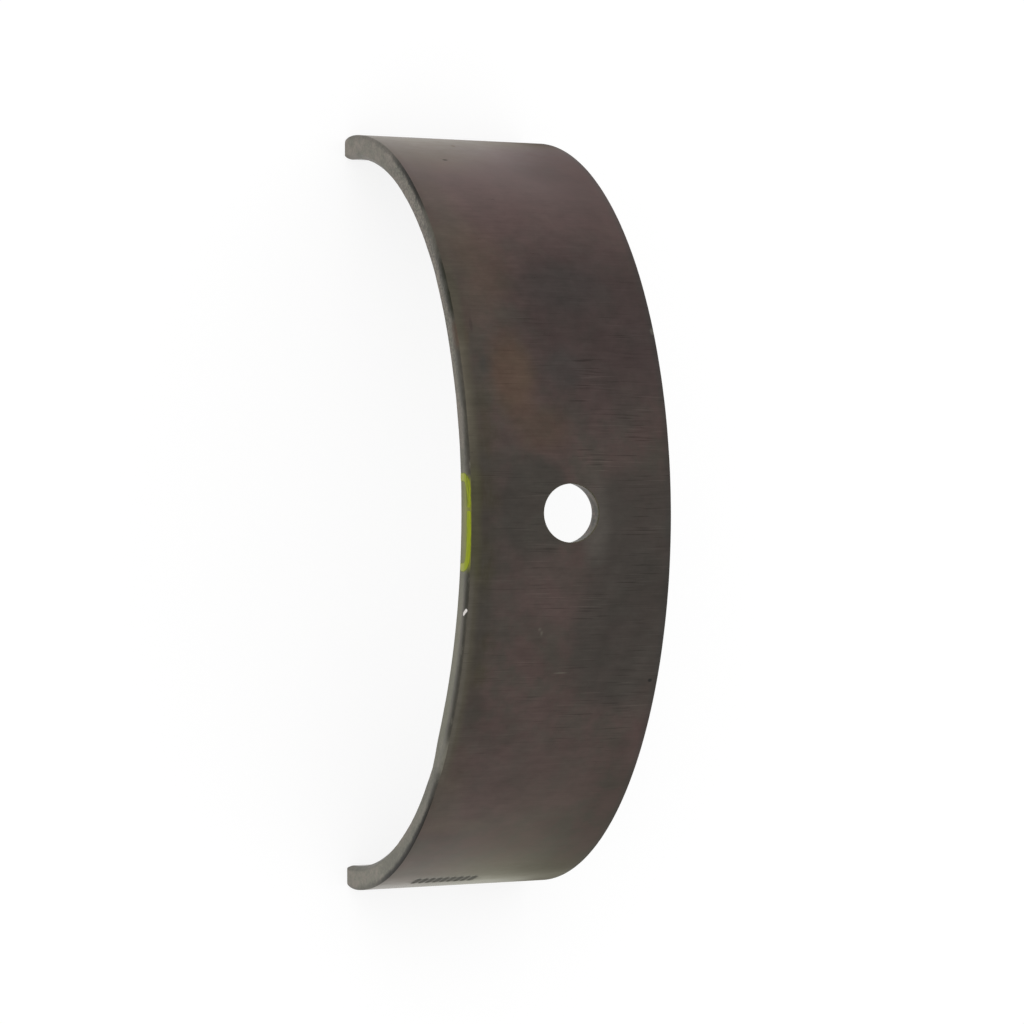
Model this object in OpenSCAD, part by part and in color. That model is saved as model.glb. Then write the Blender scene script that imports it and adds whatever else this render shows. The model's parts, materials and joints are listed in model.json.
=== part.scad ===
// Engine bearing shell: one half of a thin-walled plain bearing, with an oil hole in its crown.
// It stands on its two parting faces. The bearing's axis lies along Y and the crown points up.
// Origin: middle of the parting plane. Millimetres.

/* [Housing fit] */
// Bore of the housing that the shell is pressed into
housing_bore = 64; // [50:0.5:90]
// How much wider than that bore the shell springs open when it is free
free_spread = 1; // [0.2:0.1:2.4]
// How far each parting face stands past the housing's half circle when seated
crush_height = 0.03; // [0:0.005:0.1]

/* [Shell] */
// Width along the bearing's axis
shell_width = 16.7; // [9:0.1:40]
// Wall at the crown
crown_wall = 2.05; // [1.3:0.05:4]
// How much thinner the wall is at the parting faces
wall_thinning = 0.02; // [0:0.005:0.1]

/* [Edges] */
// Chamfer where the bore meets each end face
bore_chamfer = 0.42; // [0.1:0.02:0.8]
// Chamfer where the back meets each end face
back_chamfer = 0.25; // [0.1:0.01:0.4]
// Height over which the back curves in towards each parting face
back_relief_height = 2.4; // [1:0.1:6]
// Depth of that relief at the parting face
back_relief_depth = 0.55; // [0.2:0.05:0.75]
// Height of the chamfer where the bore meets each parting face
joint_chamfer_height = 1; // [0.4:0.1:3]
// Depth of that chamfer at the parting face
joint_chamfer_depth = 0.35; // [0.1:0.05:0.5]

/* [Oil hole] */
// Diameter of the oil hole
oil_hole_d = 4.5; // [2:0.1:7]
// Angle of the oil hole from the crown, round the bearing's axis
oil_hole_angle = 0; // [-60:1:60]
// Distance of the oil hole from the middle of the width
oil_hole_offset = 0; // [-0.6:0.1:0.6]
// Depth of the countersink where the hole breaks into the bore
oil_countersink = 0.45; // [0.1:0.05:0.8]

/* [Hidden] */
$fn = 180;

// How far a cutting shape runs past the face that it cuts
overshoot = 1;
// How far outside the back the relief's arc starts, so that the two surfaces cross cleanly
relief_lead_in = 0.03;

half_width = shell_width / 2;
back_radius = (housing_bore + free_spread) / 2;

// The back keeps its seated length when the shell springs open, so it spans less than a half circle
back_half_arc = PI * housing_bore / 4 + crush_height;
back_half_angle = back_half_arc / back_radius * 180 / PI;
// Height of the parting plane above the centre of the back
parting_height = back_radius * cos(back_half_angle);

// The bore's centre lies a little lower than the back's, which thins the wall towards the parting faces
bore_radius = back_radius - crown_wall + wall_thinning;
bore_crown = back_radius - crown_wall;

// Half the span across a circle at a height above the centre of the back
function back_span(height) = sqrt(back_radius ^ 2 - height ^ 2);
function bore_span(height) = sqrt(bore_radius ^ 2 - (height + wall_thinning) ^ 2);

// The relief is an arc that leaves the back at one point and ends on the parting face at another
relief_angle = asin((parting_height + back_relief_height) / back_radius);
relief_normal = [cos(relief_angle), sin(relief_angle)];
relief_start = (back_radius + relief_lead_in) * relief_normal;
relief_end = [back_span(parting_height) - back_relief_depth, parting_height];
relief_chord = relief_end - relief_start;
relief_radius = -(relief_chord * relief_chord) / (2 * relief_chord * relief_normal);
relief_centre = relief_start - relief_radius * relief_normal;

// The chamfer on the bore side of the parting face runs from its foot on that face to its top on the bore
joint_foot = [bore_span(parting_height) + joint_chamfer_depth, parting_height];
joint_top_height = parting_height + joint_chamfer_height;
joint_top = [bore_span(joint_top_height), joint_top_height];
joint_slope = (joint_top - joint_foot) / norm(joint_top - joint_foot);

// Turns an outline of radius and width about the bearing's axis
module turned(outline) {
    rotate([90, 0, 0]) rotate_extrude() polygon(outline);
}

// Runs an outline, seen along the bearing's axis, past both end faces
module across_width() {
    rotate([90, 0, 0])
        linear_extrude(height = shell_width + 2 * overshoot, center = true)
            children();
}

// Does the same at both ends of the arch
module at_both_joints() {
    children();
    mirror([1, 0, 0]) children();
}

// Full round blank of the back, with its end chamfers
module back_blank() {
    rim = back_radius - back_chamfer;
    shoulder = half_width - back_chamfer;
    turned([
        [0, -half_width], [rim, -half_width], [back_radius, -shoulder],
        [back_radius, shoulder], [rim, half_width], [0, half_width]
    ]);
}

// Bore with a flare at each end that leaves the end chamfers
module bore_cut() {
    flare = bore_radius + bore_chamfer + overshoot;
    reach = half_width + overshoot;
    shoulder = half_width - bore_chamfer;
    translate([0, 0, -wall_thinning])
        turned([
            [0, -reach], [flare, -reach], [bore_radius, -shoulder],
            [bore_radius, shoulder], [flare, reach], [0, reach]
        ]);
}

// Everything below the parting plane
module below_parting() {
    span = 2 * (back_radius + overshoot);
    depth = back_radius + overshoot + parting_height;
    translate([-span / 2, -half_width - overshoot, parting_height - depth])
        cube([span, shell_width + 2 * overshoot, depth]);
}

// Rounds the back in towards one parting face
module back_relief_cut() {
    reach = back_relief_height + overshoot;
    across_width()
        translate(relief_centre) rotate(relief_angle)
            difference() {
                translate([0, -reach]) square([relief_radius + overshoot, reach]);
                circle(relief_radius);
            }
}

// Bevels the bore's edge of one parting face
module joint_chamfer_cut() {
    low = joint_foot - overshoot * joint_slope;
    high = joint_top + overshoot * joint_slope;
    inside = high[0] - overshoot;
    across_width()
        polygon([low, high, [inside, high[1]], [inside, low[1]]]);
}

// Oil hole through the wall, countersunk from the bore
module oil_hole_cut() {
    hole_r = oil_hole_d / 2;
    mouth_r = hole_r + oil_countersink;
    rotate([0, oil_hole_angle, 0]) translate([0, oil_hole_offset, bore_crown]) {
        translate([0, 0, -overshoot])
            cylinder(r = hole_r, h = crown_wall + 2 * overshoot);
        translate([0, 0, -overshoot])
            cylinder(r1 = mouth_r + overshoot, r2 = hole_r, h = oil_countersink + overshoot);
    }
}

module bearing_shell() {
    color("#4b4641")
        translate([0, 0, -parting_height])
            difference() {
                back_blank();
                bore_cut();
                below_parting();
                at_both_joints() back_relief_cut();
                at_both_joints() joint_chamfer_cut();
                oil_hole_cut();
            }
}

bearing_shell();
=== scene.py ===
import json
import math

import bpy
from mathutils import Matrix, Vector, noise


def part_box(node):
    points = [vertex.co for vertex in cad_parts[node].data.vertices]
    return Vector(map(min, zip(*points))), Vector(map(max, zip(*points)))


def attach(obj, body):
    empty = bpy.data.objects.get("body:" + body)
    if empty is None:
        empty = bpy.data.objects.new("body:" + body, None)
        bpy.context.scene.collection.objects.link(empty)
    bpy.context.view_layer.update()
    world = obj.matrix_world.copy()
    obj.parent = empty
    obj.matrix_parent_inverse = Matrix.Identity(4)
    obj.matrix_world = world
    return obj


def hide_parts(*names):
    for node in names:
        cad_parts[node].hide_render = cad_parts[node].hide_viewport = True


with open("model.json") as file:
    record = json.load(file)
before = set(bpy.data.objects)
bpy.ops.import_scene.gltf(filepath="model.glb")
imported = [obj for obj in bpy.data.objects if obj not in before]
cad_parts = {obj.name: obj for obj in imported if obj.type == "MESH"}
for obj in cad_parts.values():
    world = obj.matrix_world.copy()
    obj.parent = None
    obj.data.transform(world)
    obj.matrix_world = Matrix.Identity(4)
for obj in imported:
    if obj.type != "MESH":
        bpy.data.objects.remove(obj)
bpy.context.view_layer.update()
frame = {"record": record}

# Looks of an engine bearing shell: a stained steel half shell with an oil hole and a dab of grade paint.
# Shapes are worked out in millimetres and written to Blender in metres.
MM = 0.001

# Sizes that the frame gives
mounts = {mount["name"]: mount for mount in frame["record"]["mounts"]}
bore_mount = mounts["running_bore"]
far_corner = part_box("bearing_shell")[1] / MM
half_width = far_corner.y
bore_radius = bore_mount["dims"]["r_mm"]
bore_chamfer = half_width - bore_mount["dims"]["length_mm"] / 2
hole_radius = mounts["oil_hole"]["dims"]["r_mm"]

# Sizes that the part's source names and the frame doesn't
wall_thinning = 0.02
oil_countersink = 0.45

# The source cuts the edges by the parting faces and the back's chamfer flat; here they are worn round.
# The near edge of the back is rolled over from shearing, further down the end face than along the back.
near_roll_drop = 0.65
far_roll_drop = 0.2
roll_slope = 0.27
# The foot at the negative end of the arch is worn less than the other.
back_relief_height = 2.8
back_relief_depth = 0.38
small_relief_height = 2.5
small_relief_depth = 0.34
joint_round_height = 1.3
joint_round_depth = 0.35

# Room for the paint's thickness between the end faces and the frame's box
paint_room = 0.014
end_face = half_width - paint_room

# The centre of the back lies below the parting plane, and the bore's centre a little lower still
parting_height = -bore_mount["pos_m"][2] / MM - wall_thinning
back_radius = far_corner.z + parting_height

# Small rounding that real edges have, and how far the punched hole opens toward the bore
edge_round = 0.09
parting_round = 0.06
smallest_cut = 0.07
hole_round = 0.06
hole_flare = 0.1

# Finishes of the shell's faces, in the order of its material slots
BACK, EDGE, BORE, HOLE = range(4)


def arc_of(degrees):
    """Length along the back from the crown to an angle, in millimetres."""
    return back_radius * math.radians(degrees)


def quarter_round(height, reach, depth):
    """How much a worn edge takes off at a height above the parting plane."""
    if height >= reach:
        return 0
    return depth * (1 - math.sqrt(1 - (1 - max(0, height) / reach) ** 2))


def back_reach(angle):
    """Radius of the back at an angle from the crown, with the relief at the parting faces."""
    height = back_radius * math.cos(angle) - parting_height
    if angle < 0:
        return back_radius - quarter_round(height, small_relief_height, small_relief_depth)
    return back_radius - quarter_round(height, back_relief_height, back_relief_depth)


def bore_reach(angle):
    """Radius of the bore at an angle from the crown, with the round at the parting faces."""
    sunk = wall_thinning * math.sin(angle)
    plain = math.sqrt(bore_radius ** 2 - sunk ** 2) - wall_thinning * math.cos(angle)
    height = plain * math.cos(angle) - parting_height
    return plain + quarter_round(height, joint_round_height, joint_round_depth)


def end_angle(radius):
    """Angle from the crown at which a radius reaches the parting plane."""
    return math.acos(parting_height / radius)


def place_on_arch(angle, y, radius):
    return Vector((radius * math.sin(angle), y, radius * math.cos(angle) - parting_height))


def strip_place(place):
    """Place in the flat strip that the shell was bent from: along it, across it, and below its back."""
    upright = place.z + parting_height
    return Vector((
        back_radius * math.atan2(place.x, upright),
        place.y,
        back_radius - math.hypot(place.x, upright),
    ))


# Wear: small round-nosed cuts that are pressed into the mesh
class Cut:
    """A groove or nick, with the shape that a round-nosed tool leaves between two points."""

    def __init__(self, start, end, radius):
        self.start = start
        self.run = end - start
        self.radius = radius

    def nearest(self, place):
        share = (place - self.start).dot(self.run) / max(self.run.length_squared, 1e-9)
        return self.start + self.run * min(1, max(0, share))

    def press(self, place):
        """Moves a point that lies inside the tool out to the tool's surface."""
        centre = self.nearest(place)
        away = place - centre
        if away.length >= self.radius:
            return place
        return centre + away.normalized() * self.radius


def uneven(arc, reach, seed):
    """Soft variation along the arch, between about -1 and 1."""
    return noise.noise(Vector((arc / reach, seed, 0.37)))


slow_reach = 2.6
quick_reach = 0.5


def unevenness(arc, slow, quick, seed):
    """Factor near 1 that varies slowly and quickly along the arch."""
    return 1 + slow * uneven(arc, slow_reach, seed) + quick * uneven(arc, quick_reach, seed)


# Stretch of the near edge that is bruised, as arcs from the crown
bruised_start = arc_of(-50)
bruised_end = arc_of(-18)
bruise_depth = 0.16
dent_reach = 1.1
dent_grain = 0.4


def bruise(arc):
    """How much further the bruised stretch of the near edge is knocked down."""
    reach = (bruised_end - bruised_start) / 2
    middle = (bruised_end + bruised_start) / 2
    strength = max(0, 1 - ((arc - middle) / reach) ** 2)
    dent = max(0, uneven(arc, dent_reach, 31) + 0.5 * uneven(arc, dent_grain, 33))
    return bruise_depth * strength * dent


# From this place on, the near edge is rolled less
less_roll_start = arc_of(38)
less_roll_run = arc_of(8)
less_roll = 0.15


def roll_drop(arc, far_side, lost):
    """How far down the end face the back's rolled edge reaches, less what a relief has taken away."""
    drop = far_roll_drop
    if not far_side:
        past_start = min(1, max(0, (arc - less_roll_start) / less_roll_run))
        drop = near_roll_drop + bruise(arc) - less_roll * past_start
    drop *= unevenness(arc, 0.12, 0.06, 3 + far_side)
    return max(smallest_cut, drop - lost)


# The bore's chamfer was dressed by hand and isn't even: angle from the crown, size
bore_cut_near = [
    (-90, 0.4), (-62, 0.37), (-38, 0.54), (-24, 0.42), (-10, 0.38), (0, 0.26), (14, 0.18), (30, 0.12),
    (35, 0.2), (40, 0.55), (48, 0.54), (60, 0.4), (90, 0.3),
]


def bore_cut_size(arc, far_side, lost):
    """Size of the bore's chamfer along the arch, less what the round at the parting face has taken away."""
    size = bore_chamfer
    degrees = math.degrees(arc / back_radius)
    for (start, first), (end, second) in zip(bore_cut_near, bore_cut_near[1:]):
        if not far_side and start <= degrees <= end:
            size = first + (second - first) * (degrees - start) / (end - start)
    size *= unevenness(arc, 0.08, 0.05, 7 + far_side)
    return max(smallest_cut, size - lost)


def rolled(drop, sweep):
    """Place on a rolled edge: in from the end face and down from the back; sweep is 0 at the back."""
    return drop * roll_slope * (1 - math.sin(sweep)), drop * (1 - math.cos(sweep))


def near_edge_place(arc, reach, proud):
    """Point by the near end: reach runs up the end face and over the rolled edge, past 0, along the back."""
    drop = roll_drop(arc, 0, 0)
    run = drop * roll_slope
    share = min(1, max(0, (run - reach) / (run + drop)))
    sweep = share * math.pi / 2
    inward, down = rolled(drop, sweep)
    inward += max(0, reach - run)
    down += max(0, -drop - reach)
    facing = Vector((math.sin(sweep) / roll_slope, math.cos(sweep))).normalized()
    y = -end_face + inward - proud * facing.x
    return place_on_arch(arc / back_radius, y, back_radius - down + proud * facing.y)


def back_place(arc, y, proud):
    return place_on_arch(arc / back_radius, y, back_radius + proud)


# The fresh chip crosses the near chamfer at a slant
chip_arc = arc_of(13.4)
chip_radius = 0.1
chip_proud = 0.035
chip = Cut(
    near_edge_place(chip_arc + 0.23, -0.47, chip_proud),
    near_edge_place(chip_arc - 0.17, -0.12, chip_proud),
    chip_radius,
)

# Plain equal strokes pressed into the back near one parting face
tick_count = 9
tick_middle = arc_of(71.6)
tick_half_length = 0.75
tick_first_y = -5.2
tick_pitch = 0.62
tick_radius = 0.3
tick_depth = 0.085
tick_half_width = 0.24
tick_cell = 0.12
tick_ys = [tick_first_y + tick_pitch * number for number in range(tick_count)]


def tick_cut(y):
    proud = tick_radius - tick_depth
    return Cut(
        back_place(tick_middle - tick_half_length, y, proud),
        back_place(tick_middle + tick_half_length, y, proud),
        tick_radius,
    )


ticks = [tick_cut(y) for y in tick_ys]


def worn(place):
    for cut in ticks + [chip]:
        place = cut.press(place)
    return place


def nearness(place, cuts, margin):
    """1 in a cut, falling to 0 at a share of the tool's radius outside it."""
    gaps = [(place - cut.nearest(place)).length / cut.radius for cut in cuts]
    return max(0, min(1, (1 + margin - min(gaps)) / margin))


# How far fresh metal and dirt spread past a cut, in shares of its radius
fresh_margin = 0.3
soil_margin = 0.2


# Lines of the shell's grid
def spaced(start, end, step):
    """Evenly spaced values from start to end, both included."""
    count = max(1, math.ceil(abs(end - start) / step - 1e-6))
    return [start + (end - start) * number / count for number in range(count + 1)]


def merged(fixed, others, clearance):
    """The fixed values, and those others that keep clear of all values taken so far."""
    taken = list(fixed)
    for value in others:
        if all(abs(value - other) > clearance for other in taken):
            taken.append(value)
    return sorted(taken)


hole_block = 3.4
hole_block_cells = 48
block_lines = spaced(-hole_block, hole_block, 2 * hole_block / hole_block_cells)
grid_step = 0.6
line_clearance = 0.18
fine_clearance = 0.03
joint_sweep = math.pi / 28
chip_reach = 0.5
chip_cell = 0.045
bruise_cell = 0.3


def row_lines():
    """Distances across the width at which the back and the bore have points."""
    edge = end_face - near_roll_drop * roll_slope
    fine = spaced(tick_first_y - tick_half_width, -hole_block - tick_cell, tick_cell)
    fixed = [-edge, edge] + block_lines + fine
    outside = spaced(-edge, -hole_block, grid_step) + spaced(hole_block, edge, grid_step)
    return merged(fixed, outside, line_clearance)


def station_angles():
    """Angles from the crown at which the shell's section is taken."""
    end = end_angle(back_radius)
    fixed = [math.asin(line / back_radius) for line in block_lines]
    sweeps = spaced(0, math.pi / 2, joint_sweep)
    heights = [back_relief_height * (1 - math.cos(sweep)) for sweep in sweeps]
    by_joint = [math.acos((parting_height + height) / back_radius) for height in heights]
    fixed += by_joint + [-angle for angle in by_joint]
    fine_arcs = spaced(chip_arc - chip_reach, chip_arc + chip_reach, chip_cell)
    fine_arcs += spaced(bruised_start, bruised_end, bruise_cell)
    for tick_end in (tick_middle - tick_half_length, tick_middle + tick_half_length):
        fine_arcs += spaced(tick_end - tick_half_width, tick_end + tick_half_width, tick_cell)
    fine = [arc / back_radius for arc in fine_arcs]
    fixed = merged(fixed, fine, fine_clearance / back_radius)
    regular = spaced(-end, end, grid_step / back_radius)
    regular = [angle for angle in regular if abs(back_radius * math.sin(angle)) > hole_block]
    return merged(fixed, regular, line_clearance / back_radius)


def rounded(corner, before, after, trim):
    """Three points that round a corner off, from the side of one neighbour to the side of the other."""
    start = corner + (before - corner).normalized() * trim
    end = corner + (after - corner).normalized() * trim
    return [start, (start + 2 * corner + end) / 4, end]


def between(start, end, count):
    return [start.lerp(end, (number + 1) / (count + 1)) for number in range(count)]


roll_points = 12
chamfer_points = 2
face_points = 7


def edge_column(back, bore, width, drop, bore_cut):
    """Points down one end of a section, from the back's last point to the bore's last point."""
    column = []
    for number in range(roll_points + 1):
        inward, down = rolled(drop, number / roll_points * math.pi / 2)
        column.append(Vector((width - inward, back - down)))
    corners = [
        column[-1],
        Vector((width, bore + bore_cut)),
        Vector((width - bore_cut, bore)),
        Vector((width - 1, bore)),
    ]
    trim = min(edge_round * math.tan(math.pi / 8), 0.3 * bore_cut)
    for number, flat_points in enumerate((face_points, chamfer_points)):
        bend = rounded(corners[number + 1], corners[number], corners[number + 2], trim)
        column += between(column[-1], bend[0], flat_points)
        column += bend
    return column


# Steps down the column, from the back's last point to the bore's, with two rounded corners of three points
column_steps = roll_points + face_points + chamfer_points + 6

# Rounds in which a section's angle and its radii settle on each other
settling_rounds = 8


class Section:
    """One section of the shell: a back row, a bore row and a column at each end."""

    def __init__(self, angle, lines):
        self.share = angle / end_angle(back_radius)
        arc = angle * back_radius
        back, bore = back_radius, bore_radius
        for repeat in range(settling_rounds):
            back = back_reach(self.share * end_angle(back))
            bore = bore_reach(self.share * end_angle(bore))
        rise = max(0, back * math.cos(self.share * end_angle(back)) - parting_height)
        inset = 0
        if rise < parting_round:
            inset = parting_round - math.sqrt(parting_round ** 2 - (parting_round - rise) ** 2)
        lost_back = back_radius - back
        lost_bore = max(0, bore - bore_reach(0) - wall_thinning)
        width = end_face - inset
        self.columns = []
        for side in (0, 1):
            drop = roll_drop(arc, side, lost_back)
            bore_cut = bore_cut_size(arc, side, lost_bore)
            self.columns.append(edge_column(back, bore, width, drop, bore_cut))
        self.back_row = self.row(lines, back, 0)
        self.bore_row = self.row(lines, bore, -1)

    def row(self, lines, radius, end):
        """Points of one row, fitted between the last points of the two columns."""
        reach = [-self.columns[0][end].x, self.columns[1][end].x]
        outer = lines[-1]
        inner = hole_block
        points = []
        for line in lines:
            y = line
            if abs(line) > inner:
                limit = reach[0] if line < 0 else reach[1]
                share = (abs(line) - inner) / (outer - inner)
                y = math.copysign(inner + share * (abs(limit) - inner), line)
            points.append(Vector((y, radius)))
        return points

    def place(self, point, side=1):
        angle = self.share * end_angle(point.y)
        return place_on_arch(angle, side * point.x, point.y)

    def loop(self):
        """All places round the section: back row, far column, bore row back again, near column."""
        near = [self.place(point, -1) for point in self.columns[0][1:-1]]
        far = [self.place(point) for point in self.columns[1][1:-1]]
        back = [self.place(point) for point in self.back_row]
        bore = [self.place(point) for point in self.bore_row]
        return back + far + bore[::-1] + near[::-1]


class Skin:
    """Points, faces and finishes of one mesh; a point is only kept once a face uses it."""

    def __init__(self):
        self.places = []
        self.faces = []
        self.finishes = []
        self.numbers = {}

    def point(self, name, place):
        if name not in self.numbers:
            self.numbers[name] = len(self.places)
            self.places.append(place)
        return self.numbers[name]

    def face(self, corners, finish):
        self.faces.append(corners)
        self.finishes.append(finish)


def add_object(name, data):
    made = bpy.data.objects.new(name, data)
    bpy.context.scene.collection.objects.link(made)
    return made


def make_mesh(name, places, faces):
    """A smooth-shaded mesh object from places in millimetres."""
    mesh = bpy.data.meshes.new(name)
    mesh.from_pydata([place * MM for place in places], [], faces)
    mesh.polygons.foreach_set("use_smooth", [True] * len(faces))
    mesh.update()
    return add_object(name, mesh)


def write_attribute(piece, name, kind, values):
    """Stores one value or vector for each point of a piece, for its material to read."""
    layer = piece.data.attributes.new(name, kind, "POINT")
    if kind == "FLOAT_VECTOR":
        layer.data.foreach_set("vector", [number for value in values for number in value])
    else:
        layer.data.foreach_set("value", values)


def build_walls(skin, loops, lines, stations):
    """Back, bore and end faces, with a square left open round the oil hole."""
    rows = len(lines)
    column = column_steps - 1
    block_ends = (block_lines[0], block_lines[-1])
    first_line, last_line = (lines.index(end) for end in block_ends)
    first_station, last_station = (stations.index(math.asin(end / back_radius)) for end in block_ends)
    count = len(loops[0])
    end_finish = [EDGE] * column_steps
    finishes = [BACK] * (rows - 1) + end_finish + [BORE] * (rows - 1) + end_finish

    def corner(station, number):
        number %= count
        return skin.point((station, number), loops[station][number])

    bore_start = rows + column
    for station in range(len(loops) - 1):
        over_hole = first_station <= station < last_station
        for number in range(count):
            on_back = first_line <= number < last_line
            on_bore = first_line <= bore_start + rows - 2 - number < last_line
            if over_hole and (on_back or on_bore):
                continue
            skin.face([
                corner(station, number),
                corner(station + 1, number),
                corner(station + 1, number + 1),
                corner(station, number + 1),
            ], finishes[number])
    return corner, bore_start, (first_station, last_station), (first_line, last_line)


def hole_border(stations, lines):
    """Grid positions round the square that is left open, starting at one corner."""
    first_station, last_station = stations
    first_line, last_line = lines
    border = [(station, first_line) for station in range(first_station, last_station)]
    border += [(last_station, line) for line in range(first_line, last_line)]
    border += [(station, last_line) for station in range(last_station, first_station, -1)]
    border += [(first_station, line) for line in range(last_line, first_line, -1)]
    return border


def build_hole(skin, corner, rows, bore_start, stations, lines):
    """Rings from the open square on the back, down the hole's wall, to the square in the bore."""
    border = hole_border(stations, lines)
    upper = [corner(station, line) for station, line in border]
    lower = [corner(station, bore_start + rows - 1 - line) for station, line in border]
    bearings = [math.atan2(skin.places[number].y, skin.places[number].x) for number in upper]
    bore_centre = -parting_height - wall_thinning

    def back_height(x):
        return math.sqrt(back_radius ** 2 - x ** 2) - parting_height

    def bore_height(x):
        return math.sqrt(bore_radius ** 2 - x ** 2) + bore_centre

    rings = [(upper, BACK)]

    def add_ring(name, finish, place_at):
        ring = []
        for number, bearing in enumerate(bearings):
            toward = Vector((math.cos(bearing), math.sin(bearing)))
            ring.append(skin.point((name, number), place_at(number, toward)))
        rings.append((ring, finish))

    def spread(border_points, share, radius, height):
        """Point part of the way from the square to a circle, on the surface that height gives."""
        def place_at(number, toward):
            square = skin.places[border_points[number]]
            x = square.x + (toward.x * radius - square.x) * share
            y = square.y + (toward.y * radius - square.y) * share
            return Vector((x, y, height(x)))
        return place_at

    def circle(radius, height):
        """Point on a circle of the hole, at the height that a function of x gives."""
        def place_at(number, toward):
            x = toward.x * radius
            return Vector((x, toward.y * radius, height(x)))
        return place_at

    def wall_height(x, share):
        """Height on the hole's wall, a share of the way from its upper rim to its countersink."""
        top = back_height(x) - hole_round
        bottom = bore_height(x) + oil_countersink - hole_flare
        return top + (bottom - top) * share

    ring_steps, rim_steps, wall_steps, cone_steps = 7, 4, 5, 3
    mouth_radius = hole_radius + oil_countersink
    for step in range(1, ring_steps + 1):
        place_at = spread(upper, step / ring_steps, hole_radius + hole_round, back_height)
        add_ring(f"back ring {step}", BACK, place_at)
    for step in range(1, rim_steps + 1):
        sweep = step / rim_steps * math.pi / 2
        radius = hole_radius + hole_round * (1 - math.sin(sweep))
        drop = hole_round * (1 - math.cos(sweep))
        add_ring(f"rim {step}", HOLE, circle(radius, lambda x: back_height(x) - drop))
    for step in range(1, wall_steps + 1):
        share = step / wall_steps
        radius = hole_radius + hole_flare * step / wall_steps
        add_ring(f"wall {step}", HOLE, circle(radius, lambda x: wall_height(x, share)))
    for step in range(1, cone_steps + 1):
        radius = hole_radius + hole_flare + (oil_countersink - hole_flare) * step / cone_steps
        rise = mouth_radius - radius
        add_ring(f"cone {step}", EDGE, circle(radius, lambda x: bore_height(x) + rise))
    for step in range(1, ring_steps):
        place_at = spread(lower, 1 - step / ring_steps, mouth_radius, bore_height)
        add_ring(f"bore ring {step}", BORE, place_at)
    rings.append((lower, BORE))

    size = len(border)
    for (outer, _), (inner, finish) in zip(rings, rings[1:]):
        for number in range(size):
            after = (number + 1) % size
            skin.face([outer[number], outer[after], inner[after], inner[number]], finish)


def build_parting_face(skin, corner, station, rows, bore_start, flip):
    """Closes one end of the arch with a grid between its four sides."""
    depth = bore_start - rows + 2

    def side(line, level):
        if level == 0:
            return corner(station, line)
        if level == depth - 1:
            return corner(station, bore_start + rows - 1 - line)
        if line == rows - 1:
            return corner(station, rows - 1 + level)
        return corner(station, -level)

    def blended(line, level):
        across = line / (rows - 1)
        down = level / (depth - 1)
        top, bottom = (skin.places[side(line, edge)] for edge in (0, depth - 1))
        near, far = (skin.places[side(edge, level)] for edge in (0, rows - 1))
        corners = [[skin.places[side(a, b)] for b in (0, depth - 1)] for a in (0, rows - 1)]
        flat = top.lerp(bottom, down) + near.lerp(far, across)
        return flat - corners[0][0].lerp(corners[0][1], down).lerp(
            corners[1][0].lerp(corners[1][1], down), across)

    def grid(line, level):
        if line in (0, rows - 1) or level in (0, depth - 1):
            return side(line, level)
        return skin.point(("parting", station, line, level), blended(line, level))

    for line in range(rows - 1):
        for level in range(depth - 1):
            corners = [
                grid(line, level),
                grid(line + 1, level),
                grid(line + 1, level + 1),
                grid(line, level + 1),
            ]
            skin.face(corners[::-1] if flip else corners, EDGE)


def build_shell():
    """The whole shell as one closed mesh, in place of its CAD solid."""
    lines = row_lines()
    stations = station_angles()
    loops = [[worn(place) for place in Section(angle, lines).loop()] for angle in stations]
    skin = Skin()
    corner, bore_start, hole_stations, hole_lines = build_walls(skin, loops, lines, stations)
    build_hole(skin, corner, len(lines), bore_start, hole_stations, hole_lines)
    build_parting_face(skin, corner, 0, len(lines), bore_start, False)
    build_parting_face(skin, corner, len(stations) - 1, len(lines), bore_start, True)
    piece = make_mesh("shell_body", skin.places, skin.faces)
    piece.data.polygons.foreach_set("material_index", skin.finishes)
    places = skin.places
    write_attribute(piece, "strip", "FLOAT_VECTOR", [strip_place(place) for place in places])
    write_attribute(piece, "fresh", "FLOAT", [nearness(place, [chip], fresh_margin) for place in places])
    write_attribute(piece, "soil", "FLOAT", [nearness(place, ticks, soil_margin) for place in places])
    normals = piece.modifiers.new("face_normals", "WEIGHTED_NORMAL")
    normals.keep_sharp = True
    normals.weight = 60
    return piece


# Paint dab on the near end: a stripe on the rolled edge, in two lengths, that hooks over the end face
paint_thickness = 0.012
paint_sunk = 0.014
paint_paths = [
    [(-2.9, -1.74), (-2.89, -1.4), (-2.8, -0.9), (-2.5, -0.5), (-2.0, -0.3), (-1.3, -0.24), (-0.45, -0.26)],
    [(-0.2, -0.24), (0.6, -0.27), (1.4, -0.24), (2.6, -0.26), (3.45, -0.36), (3.95, -0.6), (4.2, -0.95),
     (4.28, -1.35), (4.3, -1.74)],
]
paint_points = 90
paint_cells = 10
paint_half_width = 0.36
paint_blunt_share = 0.04
# Unevenness of the stripe's width: size, waves along it, seed
paint_waves = [(0.04, 40, 12), (0.03, 130, 5)]


def path_point(path, share):
    """Point on a smooth curve through a path, at a share of its spans."""
    spans = len(path) - 1
    span = min(spans - 1, int(share * spans))
    local = share * spans - span
    picks = [path[min(spans, max(0, span + offset))] for offset in (-1, 0, 1, 2)]
    before, start, end, after = [Vector(pick) for pick in picks]
    bend = (2 * before - 5 * start + 4 * end - after) * local ** 2
    twist = (3 * start - before - 3 * end + after) * local ** 3
    return start + ((end - before) * local + bend + twist) / 2


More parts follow.
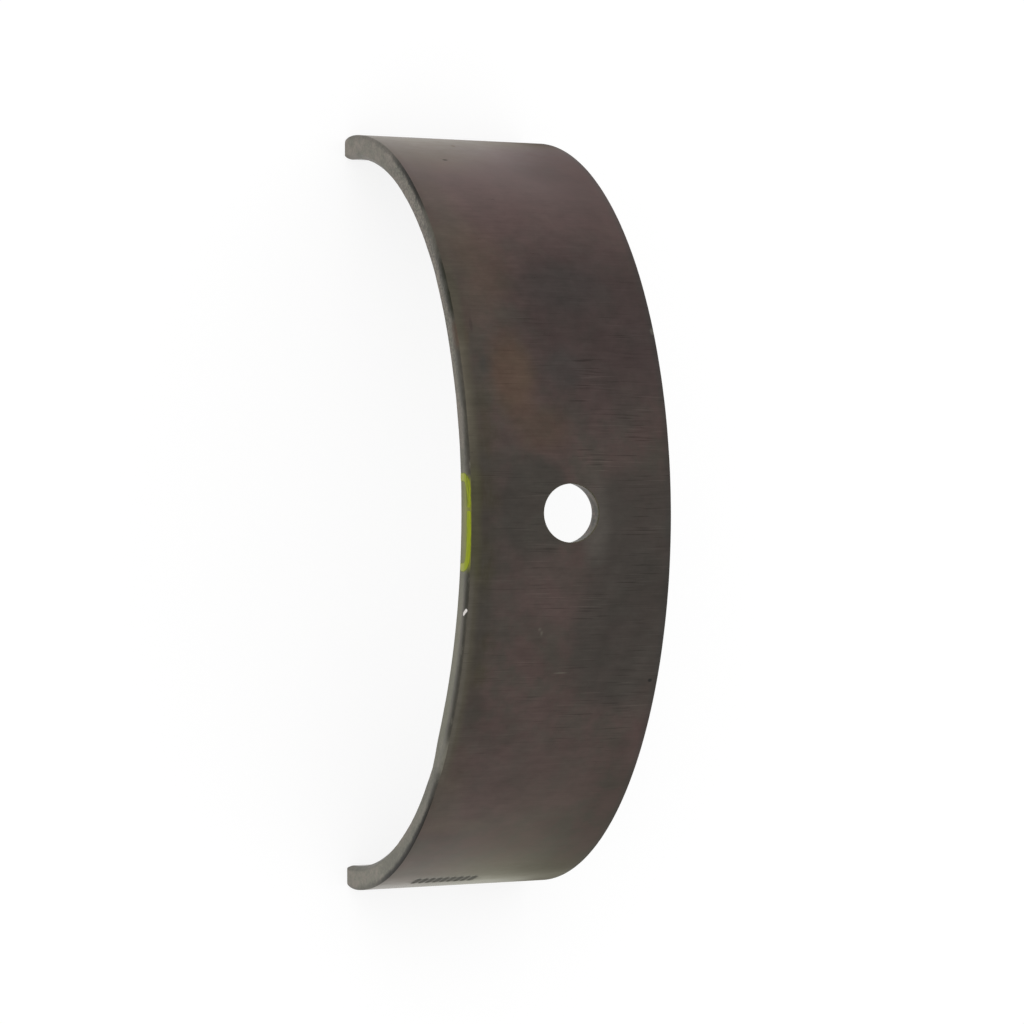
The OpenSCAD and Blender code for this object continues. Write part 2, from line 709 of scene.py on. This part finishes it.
def paint_film(path, places, faces, rims):
    """Adds one closed film of paint along a path; it is thickest along its middle."""
    rim = 2 * paint_cells
    base = len(places)
    for number in range(paint_points):
        share = number / (paint_points - 1)
        middle = path_point(path, share)
        ahead = path_point(path, min(1, share + 0.01)) - path_point(path, max(0, share - 0.01))
        aside = Vector((-ahead.y, ahead.x)).normalized()
        half = paint_half_width
        for size, waves, seed in paint_waves:
            half += size * uneven(share * waves, 1, seed)
        blunt = min(1, min(share, 1 - share) / paint_blunt_share)
        half *= math.sqrt(max(0.02, 1 - (1 - blunt) ** 2))
        for turn in range(rim):
            sweep = 2 * math.pi * turn / rim
            across = half * math.cos(sweep)
            lift = math.sin(sweep)
            rough = 1 + 0.35 * uneven(share * 60 + across * 9, 1, 21)
            proud = lift * paint_thickness * min(1, rough) if lift > 0 else lift * paint_sunk
            spot = middle + aside * across
            places.append(near_edge_place(spot.x, spot.y, proud))
            rims.append(abs(math.cos(sweep)))
    for number in range(paint_points - 1):
        first = base + number * rim
        second = first + rim
        for turn in range(rim):
            after = (turn + 1) % rim
            faces.append([first + turn, first + after, second + after, second + turn])
    last = base + (paint_points - 1) * rim
    faces.append([base + turn for turn in range(rim)][::-1])
    faces.append([last + turn for turn in range(rim)])


def build_paint():
    places = []
    faces = []
    rims = []
    for path in paint_paths:
        paint_film(path, places, faces, rims)
    piece = make_mesh("grade_mark_paint", places, faces)
    write_attribute(piece, "rim", "FLOAT", rims)
    write_attribute(piece, "strip", "FLOAT_VECTOR", [strip_place(place) for place in places])
    return piece


# Materials
class Graph:
    """Nodes of one tree."""

    def __init__(self, tree):
        self.tree = tree

    def feed(self, socket, value):
        """Links a socket to a value, or sets a constant on it."""
        if isinstance(value, Value):
            self.tree.links.new(value.socket, socket)
        elif socket.type == "RGBA":
            socket.default_value = (*value, 1)
        else:
            socket.default_value = value

    def node(self, kind, *values, **settings):
        """A node with settings of its own, and with values for its first inputs."""
        made = self.tree.nodes.new(kind)
        for name, value in settings.items():
            setattr(made, name, value)
        for number, value in enumerate(values):
            self.feed(made.inputs[number], value)
        return made

    def fed(self, kind, **values):
        """A node with values for the inputs that are named."""
        made = self.node(kind)
        for name, value in values.items():
            self.feed(made.inputs[name.replace("_", " ")], value)
        return made

    def value(self, node, output=0):
        return Value(self, node.outputs[output])

    def math(self, operation, *values):
        return self.value(self.node("ShaderNodeMath", *values, operation=operation))

    def vector_math(self, operation, *values):
        made = self.node("ShaderNodeVectorMath", *values, operation=operation)
        return self.value(made, "Value" if operation == "LENGTH" else "Vector")

    def attribute(self, name, output="Fac"):
        return self.value(self.node("ShaderNodeAttribute", attribute_name=name), output)

    def bump(self, height, strength, distance):
        made = self.fed("ShaderNodeBump", Height=height, Strength=strength, Distance=distance * MM)
        return self.value(made, "Normal")


class Value:
    """What a node gives out; arithmetic with it makes further nodes."""

    def __init__(self, graph, socket):
        self.graph = graph
        self.socket = socket

    def __add__(self, other):
        return self.graph.math("ADD", self, other)

    def __sub__(self, other):
        return self.graph.math("SUBTRACT", self, other)

    def __mul__(self, other):
        return self.graph.math("MULTIPLY", self, other)

    def __abs__(self):
        return self.graph.math("ABSOLUTE", self)

    def larger(self, other):
        return self.graph.math("MAXIMUM", self, other)

    def swing(self, amount):
        """Factor that swings about 1, from a pattern that swings about one half."""
        return self * amount + (1 - amount / 2)

    def step(self, low, high, bottom=0, top=1):
        """Smooth step from bottom to top as the value goes from low to high."""
        made = self.graph.node("ShaderNodeMapRange", self, low, high, bottom, top)
        made.interpolation_type = "SMOOTHSTEP"
        return self.graph.value(made)

    def mix(self, first, second):
        """The first colour, with this share of the second laid over it."""
        made = self.graph.node("ShaderNodeMix", data_type="RGBA")
        self.graph.feed(made.inputs["Factor"], self)
        colours = [socket for socket in made.inputs if socket.type == "RGBA"]
        self.graph.feed(colours[0], first)
        self.graph.feed(colours[1], second)
        return Value(self.graph, [socket for socket in made.outputs if socket.type == "RGBA"][0])

    def shade(self, tint):
        """A colour made lighter or darker by this factor."""
        made = self.graph.node("ShaderNodeVectorMath", tint, operation="SCALE")
        self.graph.feed(made.inputs["Scale"], self)
        return self.graph.value(made)


class MaterialGraph(Graph):
    """Nodes of one material."""

    def __init__(self, name):
        self.material = bpy.data.materials.new(name)
        self.material.use_nodes = True
        super().__init__(self.material.node_tree)
        self.tree.nodes.clear()

    def finished(self, shader):
        """The material, with a shader as its surface."""
        self.fed("ShaderNodeOutputMaterial", Surface=shader)
        return self.material

    def surface(self, **values):
        """The material, with a Principled shader that has the values given."""
        return self.finished(self.value(self.fed("ShaderNodeBsdfPrincipled", **values)))


class StripGraph(MaterialGraph):
    """Nodes of a material that depends on the place in the flat strip, in millimetres."""

    def __init__(self, name):
        super().__init__(name)
        self.strip = self.attribute("strip", "Vector")
        parts = self.node("ShaderNodeSeparateXYZ", self.strip)
        self.along, self.across, self.depth = (self.value(parts, number) for number in range(3))

    def noise(self, stretch, detail, roughness):
        """Soft noise from 0 to 1; stretch gives how many features there are to a millimetre each way."""
        place = self.vector_math("MULTIPLY", self.strip, stretch)
        made = self.fed("ShaderNodeTexNoise", Vector=place, Scale=1, Detail=detail, Roughness=roughness)
        return self.value(made, "Fac")

    def along_step(self, start, end, bottom=0, top=1):
        """Smooth step along the arch, between two angles from the crown in degrees."""
        return self.along.step(arc_of(start), arc_of(end), bottom, top)

    def away_step(self, middle, start, end, bottom, top):
        """Smooth step both ways along the arch from a middle angle, in degrees."""
        return abs(self.along - arc_of(middle)).step(arc_of(start), arc_of(end), bottom, top)


class Stain:
    """A soft-edged patch on the back: angle from the crown and place across the width, with its reach."""

    def __init__(self, degrees, across, reach_degrees, reach_across, tint, strength, soft=0.5, ragged=0.5):
        self.middle = (arc_of(degrees), across * 2 * half_width, 0)
        self.stretch = (1 / arc_of(reach_degrees), 1 / (reach_across * 2 * half_width), 0)
        self.tint = tint
        self.strength = strength
        self.soft = soft
        self.ragged = ragged

    def mask(self, graph, wander):
        """Strength of the patch at a place; wander is the pattern that makes its edge ragged."""
        offset = graph.vector_math("SUBTRACT", graph.strip, self.middle)
        reach = graph.vector_math("LENGTH", graph.vector_math("MULTIPLY", offset, self.stretch))
        reach = wander * self.ragged + reach
        start = 1 + self.soft + self.ragged / 2
        end = 1 - self.soft + self.ragged / 2
        return reach.step(end, start, self.strength, 0)


# Colours of the bare steel and of what lies on it; some also serve as painted reflection colour and painted
# shade
mauve = (0.086, 0.063, 0.057)
drab = (0.074, 0.064, 0.055)
blush = (0.104, 0.066, 0.063)
sand = (0.116, 0.098, 0.06)
# Yellow tint for painted reflection colour at the lower end
straw_reflection_tint = (0.079, 0.071, 0.051)
dusk = (0.056, 0.042, 0.041)
rust = (0.1, 0.066, 0.046)
olive = (0.055, 0.052, 0.045)
moss = (0.058, 0.052, 0.035)
grime = (0.034, 0.034, 0.025)
teal = (0.048, 0.05, 0.047)
slate = (0.059, 0.053, 0.047)
rosy = (0.088, 0.064, 0.059)
ash = (0.084, 0.076, 0.066)
tan = (0.108, 0.088, 0.068)
bare = (0.17, 0.16, 0.13)
haze = (0.102, 0.092, 0.081)
pit_black = (0.01, 0.009, 0.008)
soot = (0.02, 0.021, 0.013)
spot_rust = (0.15, 0.095, 0.062)
corner_grey = (0.087, 0.078, 0.059)
corner_yellow = (0.079, 0.075, 0.046)
rim_grey = (0.112, 0.102, 0.084)
face_grey = (0.195, 0.19, 0.14)
wash_yellow = (0.235, 0.245, 0.034)
fresh_metal = (0.86, 0.82, 0.79)

# Dirt that has settled in and round the strokes
smudge = Stain(71.8, -0.163, 1.5, 0.16, grime, 0.42, 0.35, 0.9)

# Stains on the back, each laid over the ones before it; the broad pink tint at the upper end and the yellow
# tint at the lower end are painted reflection colour, not stains
stains = [
    # Painted reflection colour: a pink tint over the upper end of the back
    Stain(-62, 0.1, 22, 0.8, blush, 0.8, 0.6),
    Stain(-79, -0.1, 8, 0.6, sand, 0.8),
    Stain(-71, -0.32, 10, 0.3, sand, 0.6, 0.6),
    Stain(41, -0.15, 11, 0.4, rosy, 0.5, 0.6),
    # Painted reflection colour: a yellow tint over the lower end, toward the far side
    Stain(76, 0.2, 13, 0.6, straw_reflection_tint, 0.95),
    Stain(-27, 0.18, 15, 0.36, dusk, 0.7),
    Stain(-46, -0.43, 8, 0.12, tan, 0.35, 0.6),
    Stain(-55, 0.22, 9, 0.2, dusk, 0.2, 0.6),
    Stain(-34, -0.37, 9, 0.12, tan, 0.28, 0.6),
    Stain(-37, -0.29, 7, 0.13, rust, 0.25),
    Stain(-33, 0.08, 4, 0.2, teal, 0.35),
    Stain(-33, -0.49, 2.6, 0.035, grime, 0.6, 0.5, 0.8),
    Stain(-24.8, -0.475, 2, 0.035, rust, 0.7, 0.5, 0.8),
    Stain(-26.5, -0.415, 1, 0.008, dusk, 0.6),
    Stain(-20.5, -0.37, 1.2, 0.03, teal, 0.5, 0.5, 0.8),
    Stain(-20, 0.01, 3, 0.09, teal, 0.35),
    Stain(-19, -0.25, 6, 0.1, rust, 0.65),
    Stain(-11.5, -0.13, 3, 0.12, rust, 0.4, 0.6),
    Stain(0, 0.19, 4.5, 0.07, ash, 0.5),
    Stain(-0.6, -0.17, 7.2, 0.17, olive, 0.75, 0.16, 0.35),
    Stain(16.5, 0.29, 12, 0.26, slate, 0.8, 0.25),
    Stain(1.5, 0.31, 8, 0.24, slate, 0.75, 0.35),
    Stain(1.5, 0.115, 5, 0.065, haze, 0.7, 0.6),
    Stain(-24, 0.45, 8, 0.09, dusk, 0.4, 0.6),
    Stain(26, 0.42, 5, 0.1, ash, 0.3, 0.6),
    Stain(34, 0.47, 7, 0.1, blush, 0.35, 0.6),
    Stain(67, -0.3, 5, 0.25, tan, 0.3, 0.6),
    Stain(10.5, -0.11, 5.5, 0.16, rosy, 0.5),
    Stain(10, -0.32, 8, 0.08, slate, 0.3, 0.6),
    Stain(-2, -0.3, 8, 0.08, slate, 0.5),
    Stain(44, -0.44, 6, 0.1, tan, 0.25),
    Stain(50.5, -0.32, 1.6, 0.15, tan, 0.3),
]

# Small scratches
small_marks = [
    Stain(-26, 0.49, 0.5, 0.01, bare, 0.6, 0.5, 0.2),
    Stain(15.9, -0.13, 0.2, 0.007, bare, 0.3, 0.8, 0.6),
    Stain(16.5, -0.119, 0.28, 0.005, bare, 0.3, 0.8, 0.6),
    Stain(22.4, 0, 0.08, 0.028, bare, 0.5, 0.6, 0.3),
]

# Pits that hold dirt or rust
pits = [
    Stain(-71.3, -0.107, 0.45, 0.009, spot_rust, 0.45, 0.6, 0.2),
    Stain(-63.2, -0.238, 0.22, 0.012, pit_black, 0.9, 0.5, 0.2),
    Stain(23.9, 0.46, 0.26, 0.01, pit_black, 1, 0.4, 0.2),
]

# Places on the near edge that are rubbed bright, and then those that are soiled
roll_rubs = [
    Stain(36, -0.5, 3, 0.05, bare, 0.9),
    Stain(-45, -0.5, 4, 0.05, bare, 0.4, 0.6, 0.8),
]
roll_soil = [
    Stain(-33, -0.5, 2.5, 0.05, grime, 0.7, 0.5, 0.9),
    Stain(-35.8, -0.5, 1.8, 0.05, soot, 0.75, 0.5, 0.9),
    Stain(-30.2, -0.5, 2.2, 0.05, soot, 0.8, 0.5, 0.9),
    Stain(-25, -0.5, 1.9, 0.05, rust, 0.6),
    Stain(-12, -0.5, 4, 0.05, grime, 0.35),
    Stain(10.8, -0.5, 2.4, 0.05, grime, 0.4),
]

# On the near end face: a paler stretch, and thin paint inside the dab
pale_face = Stain(21.5, -0.5, 14, 0.05, face_grey, 0.5, 0.4, 0.5)
wash = Stain(1.3, -0.5, 6.2, 0.03, wash_yellow, 0.8, 0.15, 0.2)


def stained(graph, ground, marks, wander):
    """A ground colour with stains laid over it, one after the other."""
    for mark in marks:
        ground = mark.mask(graph, wander).mix(ground, mark.tint)
    return ground


def near_edge_soil(graph, ground, wander):
    """Adds the streaks and spots that handling and old oil have left along the near edge of the back."""
    across = graph.across
    edge_place = wander * 2.4 + across
    streak = graph.noise((0.4, 1.7, 1), 5, 0.65)
    edge_tint = streak.step(0.4, 0.75, 0, 0.5).mix(moss, ash)
    cleaner = graph.noise((0.17, 0.12, 0.1), 2, 0.5)
    edge_tint = cleaner.step(0.42, 0.58, 0, 0.8).mix(edge_tint, slate)
    by_edge = edge_place.step(-5.6, -4.2, 1, 0) * graph.away_step(7, 12, 30, 0.85, 0.2)
    ground = by_edge.mix(ground, edge_tint)
    spots = graph.noise((0.9, 2.2, 1), 4, 0.7).step(0.58, 0.72)
    spots = spots * edge_place.step(-7.2, -5.8, 1, 0) * graph.away_step(-34, 5, 12, 0.95, 0.5)
    ground = spots.mix(ground, grime)
    off_ends = graph.away_step(0, 30, 46, 1, 0)
    by_corner = across.step(-7.8, -7.1, 0.9, 0) * off_ends
    by_paint = graph.away_step(1.3, 6, 9, 1, 0)
    ground = by_corner.mix(ground, by_paint.mix(corner_grey, corner_yellow))
    pale_rim = across.step(-8.0, -7.65, 0.7, 0) * graph.along_step(4, 12) * off_ends
    return pale_rim.mix(ground, rim_grey)


def back_dullness(graph):
    """Roughness of the back under its fine grain: it grows toward the far side and differs by the feet."""
    across = graph.across
    low_end = graph.along_step(28, 52) * graph.along_step(66, 76, 1, 0)
    high_end = graph.along_step(-62, -50, 1, 0)
    far_half = across.step(-half_width * 0.3, half_width * 0.5, 0, 0.055)
    far_side = across.step(half_width * 0.5, half_width * 0.9)
    dull = across.step(half_width * 0.1, half_width * 0.95, 0.2, 0.36)
    dull = dull + low_end * 0.1 + high_end * 0.052 + (low_end + high_end) * far_half
    dull = dull + graph.along_step(69, 77, 0, -0.037)
    return dull + graph.away_step(0, 70, 78, 0, 0.2) * far_side


def back_material():
    """Dark satin steel with fine brush lines across the back, old oil stains and light rust, with painted
    reflection colour: pinker at the upper end, yellower toward the lower end and the far side.
    """
    graph = StripGraph("stained_steel_back")
    across = graph.across
    cloud = graph.noise((0.2, 0.2, 0.2), 3, 0.6)
    mottle = graph.noise((1.1, 0.7, 1), 4, 0.65)
    wander = graph.noise((0.5, 0.3, 0.5), 5, 0.7)
    hue = graph.noise((0.3, 0.36, 0.3), 4, 0.65)
    brush = graph.noise((4.5, 0.3, 4.5), 3, 0.65)
    lined = graph.noise((0.22, 0.15, 0.2), 2, 0.5).step(0.35, 0.65, 0.2, 1)
    lined = lined * across.step(-6, 3, 0.45, 1) * graph.away_step(5, 22, 44, 1.2, 0.3)
    dark_lines = graph.noise((7.5, 0.26, 8), 1, 0.5).step(0.6, 0.72) * lined
    light_lines = graph.noise((8.5, 0.22, 8), 1, 0.5).step(0.62, 0.74) * lined

    ground = hue.step(0.4, 0.64).mix(mauve, drab)
    ground = stained(graph, ground, stains + small_marks, wander)
    ground = near_edge_soil(graph, ground, wander)
    # Painted shade: the back darkens toward its far edge
    ground = across.step(end_face - 0.7, end_face - 0.15, 0, 0.35).mix(ground, teal)
    soil = (graph.attribute("soil") * 0.82).larger(smudge.mask(graph, wander))
    ground = soil.mix(ground, grime)
    for pit in pits:
        dirt = pit.mask(graph, wander)
        ground = dirt.mix(ground, pit.tint)
        soil = soil.larger(dirt)

    tone = cloud.swing(0.5) * mottle.swing(0.45) * brush.swing(0.26)
    tone = tone + dark_lines * -0.3 + light_lines * 0.28
    # Painted reflection colour: the steel's reflections turn yellower toward the lower end and the far side
    yellow_reflection_share = graph.along_step(-40, 50) * across.step(-half_width * 0.8, half_width * 0.2, 0.35, 1)
    return graph.surface(
        Base_Color=tone.shade(ground),
        Metallic=soil * -0.8 + 1,
        Roughness=back_dullness(graph) + brush * 0.08 + mottle * 0.14 + soil * 0.35,
        Specular_Tint=yellow_reflection_share.mix((1, 0.965, 0.955), (1, 0.995, 0.88)),
        Normal=graph.bump(brush + dark_lines * -0.5, 0.14, 0.008),
    )


def roll_colour(graph, middle_part, grit, rub):
    """Colour of the back's rolled edge: painted shade, near black toward the ends of the arch and less dark
    over its middle, with rubbed and soiled patches over the middle of the arch.
    """
    # Painted shade: near black toward the ends of the arch, less dark over its middle
    tint = middle_part.mix((0.02, 0.018, 0.014), (0.068, 0.062, 0.05))
    thin_line = graph.depth.step(0.02, 0.1) * graph.depth.step(0.2, 0.42, 1, 0)
    lower_side = middle_part * graph.along_step(3, 8, 0, 0.5)
    tint = (thin_line * lower_side).mix(tint, grime)
    tint = stained(graph, tint, roll_rubs, rub)
    tint = (middle_part * rub.step(0.55, 0.7, 0, 0.5)).mix(tint, bare)
    tint = stained(graph, tint, roll_soil, rub)
    return grit.swing(1).shade(tint)


def edge_material():
    """Machined steel of the end and parting faces, pitted, with painted shade where the back's edge rolls
    over.
    """
    graph = StripGraph("machined_steel_edge")
    depth = graph.depth
    cloud = graph.noise((0.35, 0.4, 0.8), 4, 0.65)
    grit = graph.noise((1.5, 1.7, 2.4), 4, 0.7)
    speck = graph.noise((5, 5, 5), 3, 0.65)
    rub = graph.noise((0.45, 1, 1), 4, 0.65)
    near_side = graph.across.step(-1, 1, 1, 0.35)
    rough_stretch = graph.away_step(-42, 10, 30, 1, 0.3) * near_side
    warmth = cloud + graph.along_step(-60, 60, 0.07, -0.07)
    ground = warmth.step(0.4, 0.6).mix((0.154, 0.148, 0.117), (0.163, 0.145, 0.12))
    tone = grit.step(0.34, 0.66, 0.9, 1.1) * cloud.step(0.36, 0.64, 0.88, 1.12)
    tone = tone + speck.step(0.36, 0.64, -0.38, 0.38) * rough_stretch
    # Painted shade: the end faces darken toward the bore's edge, most at the foot of the positive end
    tone = tone * depth.step(1.5, 1.75, 1, graph.along_step(60, 72, 0.88, 0.68))
    tone = tone * graph.away_step(0, 58, 72, 1, 1.15)

    middle_part = (rub * arc_of(14) + abs(graph.along)).step(arc_of(46), arc_of(56), 1, 0)
    off_foot = graph.along_step(-72, -56, 0.3, 1) * graph.along_step(66, 80, 1, 0.3)
    ragged_depth = depth + (cloud - 0.5) * 0.5 + (grit - 0.5) * 0.35
    lowest = graph.along.step(-1, 1, 0.46, 0.58) + middle_part * 0.6
    # Painted shade over the rolled edge: full on the near side, about a third as strong on the far side
    rolled_part = ragged_depth.step(0.12, lowest, 1, 0) * off_foot * near_side
    ground = rolled_part.mix(tone.shade(ground), roll_colour(graph, middle_part, grit, rub))

    paler = pale_face.mask(graph, cloud) * depth.step(0.6, 1)
    ground = paler.mix(ground, pale_face.tint)
    washed = wash.mask(graph, cloud) * depth.step(0.5, 1.5, 1, 0.4)
    ground = washed.mix(ground, wash.tint)
    return graph.surface(
        Base_Color=graph.attribute("fresh").mix(ground, fresh_metal),
        Metallic=0.4,
        Roughness=grit * 0.3 + 0.32,
        Specular_IOR_Level=0.1,
        Normal=graph.bump((grit + speck * 0.4) * rough_stretch, 0.6, 0.08),
    )


def bore_material():
    """Soft satin lining of the bore, with the fine turned lines of its last cut."""
    graph = StripGraph("satin_lining_bore")
    turned = graph.noise((0.05, 16, 0.05), 2, 0.6)
    fine = graph.noise((0.12, 45, 0.12), 1, 0.5)
    cloud = graph.noise((0.12, 0.2, 0.12), 3, 0.55)
    tone = turned.swing(0.16) * cloud.swing(0.24)
    return graph.surface(
        Base_Color=tone.shade((0.34, 0.33, 0.315)),
        Metallic=1,
        Roughness=cloud * 0.16 + 0.26 + turned * 0.1,
        Normal=graph.bump(turned + fine * 0.4, 0.25, 0.008),
    )


def hole_material():
    """Punched wall of the oil hole, lighter and rougher than the back."""
    graph = StripGraph("punched_steel_hole")
    drag = graph.noise((4, 4, 0.8), 3, 0.65)
    cloud = graph.noise((1.4, 1.4, 1.4), 3, 0.6)
    ground = cloud.step(0.4, 0.6).mix((0.08, 0.072, 0.052), (0.092, 0.072, 0.058))
    tone = drag.step(0.34, 0.66, 0.5, 1.4) * cloud.step(0.38, 0.62, 0.7, 1.25)
    by_rim = (graph.depth + cloud * 0.5).step(0.3, 0.8, 0.7, 0)
    return graph.surface(
        Base_Color=by_rim.mix(tone.shade(ground), (0.082, 0.076, 0.048)),
        Metallic=1,
        Roughness=drag * 0.24 + 0.34,
        Normal=graph.bump(drag, 0.5, 0.04),
    )


def paint_material():
    """Yellow-green marking paint, thin and a little streaky, and darker along its rim."""
    graph = StripGraph("grade_paint")
    depth = graph.depth
    streak = graph.noise((1.1, 5, 5), 3, 0.6)
    thin = graph.noise((0.8, 7, 7), 3, 0.6)
    ground = streak.mix((0.2, 0.245, 0.003), (0.335, 0.385, 0.018))
    rubbed = thin + graph.along.step(-0.6, -0.2, 0.1, 0)
    thinned = rubbed.step(0.55, 0.72, 0, 0.85) * depth.step(0.5, 0.9, 1, 0.2)
    ground = thinned.mix(ground, (0.13, 0.14, 0.014))
    ground = depth.step(0.6, 1.2, 0, 0.85).mix(ground, (0.355, 0.37, 0.1))
    rim = (graph.attribute("rim") + thin * 0.5).step(0.95, 1.25, 0, 0.8)
    return graph.surface(
        Base_Color=rim.mix(ground, (0.085, 0.1, 0.01)),
        Roughness=streak * 0.2 + 0.45,
        Specular_IOR_Level=0.12,
        Normal=graph.bump(streak, 0.3, 0.02),
    )


def floor_material():
    """White floor that shows as white to the camera and in reflections, and keeps a soft shadow."""
    graph = MaterialGraph("studio_floor")
    rays = graph.node("ShaderNodeLightPath")
    seen = graph.value(rays, "Is Camera Ray").larger(graph.value(rays, "Is Glossy Ray"))
    seen = seen.larger(graph.value(rays, "Is Transmission Ray"))
    plain = graph.value(graph.fed("ShaderNodeBsdfDiffuse", Color=(0.8, 0.8, 0.8)))
    shaded = graph.value(graph.fed("ShaderNodeBsdfDiffuse", Color=(0.22, 0.22, 0.22)))
    white = graph.value(graph.fed("ShaderNodeEmission", Color=(1, 1, 1), Strength=0.8))
    shown = graph.value(graph.node("ShaderNodeAddShader", shaded, white))
    return graph.finished(graph.value(graph.node("ShaderNodeMixShader", seen, plain, shown)))


def dress_shell():
    piece = build_shell()
    for make in (back_material, edge_material, bore_material, hole_material):
        piece.data.materials.append(make())
    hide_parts("bearing_shell")
    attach(piece, "root")


def dress_paint():
    piece = build_paint()
    piece.data.materials.append(paint_material())
    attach(piece, "root")


floor_reach = 3000


def make_floor():
    corners = [Vector((x, y, 0)) * floor_reach for x, y in ((-1, -1), (1, -1), (1, 1), (-1, 1))]
    floor = make_mesh("floor", corners, [(0, 1, 2, 3)])
    floor.data.materials.append(floor_material())


# Light, in metres: the camera sees the surroundings a little brighter than they shine
surround_level = 0.9
seen_extra = 0.1
lamp_place = Vector((-0.35, -0.15, 0.5))
lamp_size = 0.5
lamp_power = 0.6


def make_light():
    """Even white surroundings and one broad soft lamp over the end of the arch that is up in the picture."""
    world = bpy.data.worlds.new("studio")
    world.use_nodes = True
    graph = Graph(world.node_tree)
    seen = graph.value(graph.node("ShaderNodeLightPath"), "Is Camera Ray")
    background = world.node_tree.nodes["Background"]
    graph.feed(background.inputs["Color"], (1, 1, 1))
    graph.feed(background.inputs["Strength"], seen * seen_extra + surround_level)
    bpy.context.scene.world = world
    lamp = bpy.data.lights.new("softbox", "AREA")
    lamp.shape = "DISK"
    lamp.size = lamp_size
    lamp.energy = lamp_power
    holder = add_object("softbox", lamp)
    holder.location = lamp_place
    holder.rotation_mode = "QUATERNION"
    holder.rotation_quaternion = (-lamp_place).to_track_quat("-Z", "Y")


# Camera: almost straight down on the back, with the bearing's axis running across the picture
camera_place = Vector((-0.73, -76.31, 222.17))
camera_aim = Vector((0, 6.5, 1.4))
camera_up = Vector((-1, 0.0032, 0))
camera_lens = 94.21


def make_camera():
    data = bpy.data.cameras.new("camera")
    data.lens = camera_lens
    data.clip_start = 0.01
    data.clip_end = 20
    backward = (camera_place - camera_aim).normalized()
    right = camera_up.cross(backward).normalized()
    up = backward.cross(right)
    holder = add_object("camera", data)
    turn = Matrix((right, up, backward)).transposed().to_4x4()
    holder.matrix_world = Matrix.Translation(camera_place * MM) @ turn
    bpy.context.scene.camera = holder


make_camera()
make_light()
make_floor()
dress_shell()
dress_paint()
bpy.context.scene.view_settings.view_transform = "Standard"

bpy.context.view_layer.update()
